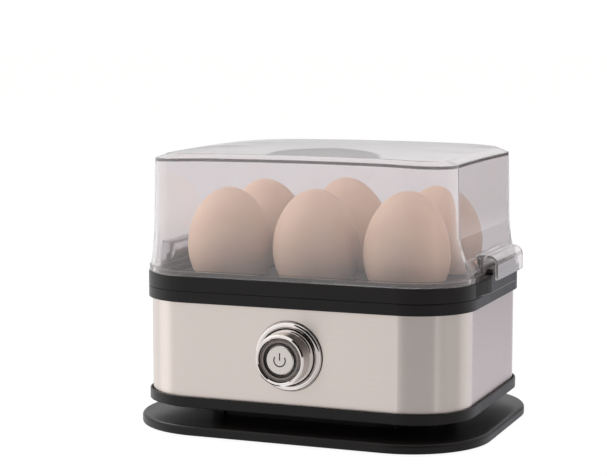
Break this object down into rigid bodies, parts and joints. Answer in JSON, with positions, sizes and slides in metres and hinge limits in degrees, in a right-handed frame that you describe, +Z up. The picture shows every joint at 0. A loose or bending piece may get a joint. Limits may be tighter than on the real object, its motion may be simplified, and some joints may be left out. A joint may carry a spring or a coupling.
{
  "type": "egg boiler",
  "caption": "Small table-top egg boiler: steel-clad base with a push button, cord-wrap groove and heated water dish, a drop-in egg tray with side grips, and a clear lid with hooded ends.",
  "frame": {"origin": "on the surface that the rubber feet stand on, under the middle of the boiler's bounding box, which includes the button and so lies 3.2 mm in front of the casing's own middle", "axes": "+Z up, +X along the long side towards the right, -Y towards the front with the button"},
  "size_m": [0.1922, 0.1556, 0.1462],
  "materials": {
    "black_plastic": "black moulded polypropylene, semi-gloss",
    "foot_rubber": "black rubber, matt",
    "gland_rubber": "black soft rubber",
    "gasket_rubber": "grey silicone",
    "screw_steel": "zinc-plated steel",
    "band_steel": "brushed stainless steel, satin",
    "dish_metal": "pressed stainless steel, satin",
    "heater_aluminium": "cast aluminium",
    "terminal_brass": "bare brass",
    "thermostat_ceramic": "steatite ceramic, matt",
    "fuse_ceramic": "white ceramic",
    "bracket_steel": "spring steel strip",
    "block_plastic": "natural nylon",
    "wire_brown": "brown insulated wire",
    "wire_blue": "blue insulated wire",
    "wire_green": "green insulated wire",
    "bezel_chrome": "polished chrome plate",
    "smoked_plastic": "smoked light-guide plastic",
    "board_green": "circuit board",
    "cap_metal": "satin silver metal",
    "plunger_plastic": "natural acetal",
    "spring_steel": "spring steel wire",
    "switch_plastic": "black nylon",
    "clear_plastic": "clear moulded polycarbonate, glossy"
  },
  "bodies": {
    "base": {"foot_plate": "black_plastic", "rubber_foot_front_left": "foot_rubber", "rubber_foot_front_right": "foot_rubber", "rubber_foot_rear_left": "foot_rubber", "rubber_foot_rear_right": "foot_rubber", "foot_screws": "screw_steel", "cord_spool": "black_plastic", "cord_gland": "gland_rubber", "base_pan": "black_plastic", "body_screws": "screw_steel", "steel_band": "band_steel", "collar": "black_plastic", "dish_gasket": "gasket_rubber", "heating_dish": "dish_metal", "heater_plate": "heater_aluminium", "heater_tube": "heater_aluminium", "heater_terminals": "terminal_brass", "thermostat": "thermostat_ceramic", "thermostat_bracket": "bracket_steel", "bracket_screws": "screw_steel", "thermal_fuse": "fuse_ceramic", "fuse_clip": "bracket_steel", "fuse_clip_screw": "screw_steel", "earth_lug": "terminal_brass", "earth_screw": "screw_steel", "terminal_block": "block_plastic", "cord_clamp": "block_plastic", "clamp_screws": "screw_steel", "live_wire": "wire_brown", "switched_wire": "wire_brown", "fuse_wire": "wire_brown", "heater_wire": "wire_brown", "neutral_wire": "wire_blue", "earth_wire": "wire_green", "button_bezel": "bezel_chrome", "indicator_ring": "smoked_plastic", "lamp_board": "board_green", "button_spring": "spring_steel", "switch_carrier": "switch_plastic", "switch_body": "switch_plastic", "bezel_nut": "switch_plastic"},
    "button": {"button_cap": "cap_metal", "button_plunger": "plunger_plastic"},
    "tray": {"egg_tray": "black_plastic"},
    "lid": {"lid": "clear_plastic"}
  },
  "joints": [
    {"name": "tray_lift", "type": "slide", "parent": "base", "child": "tray", "axis": [0, 0, 1], "range_m": [0, 0.1]},
    {"name": "lid_lift", "type": "slide", "parent": "tray", "child": "lid", "axis": [0, 0, 1], "range_m": [0, 0.12]},
    {"name": "button_press", "type": "slide", "parent": "base", "child": "button", "axis": [0, 1, 0], "range_m": [0, 0.0015], "stiffness_N_per_m": 600, "springref_m": -0.002, "deforming": ["button_spring"]}
  ]
}
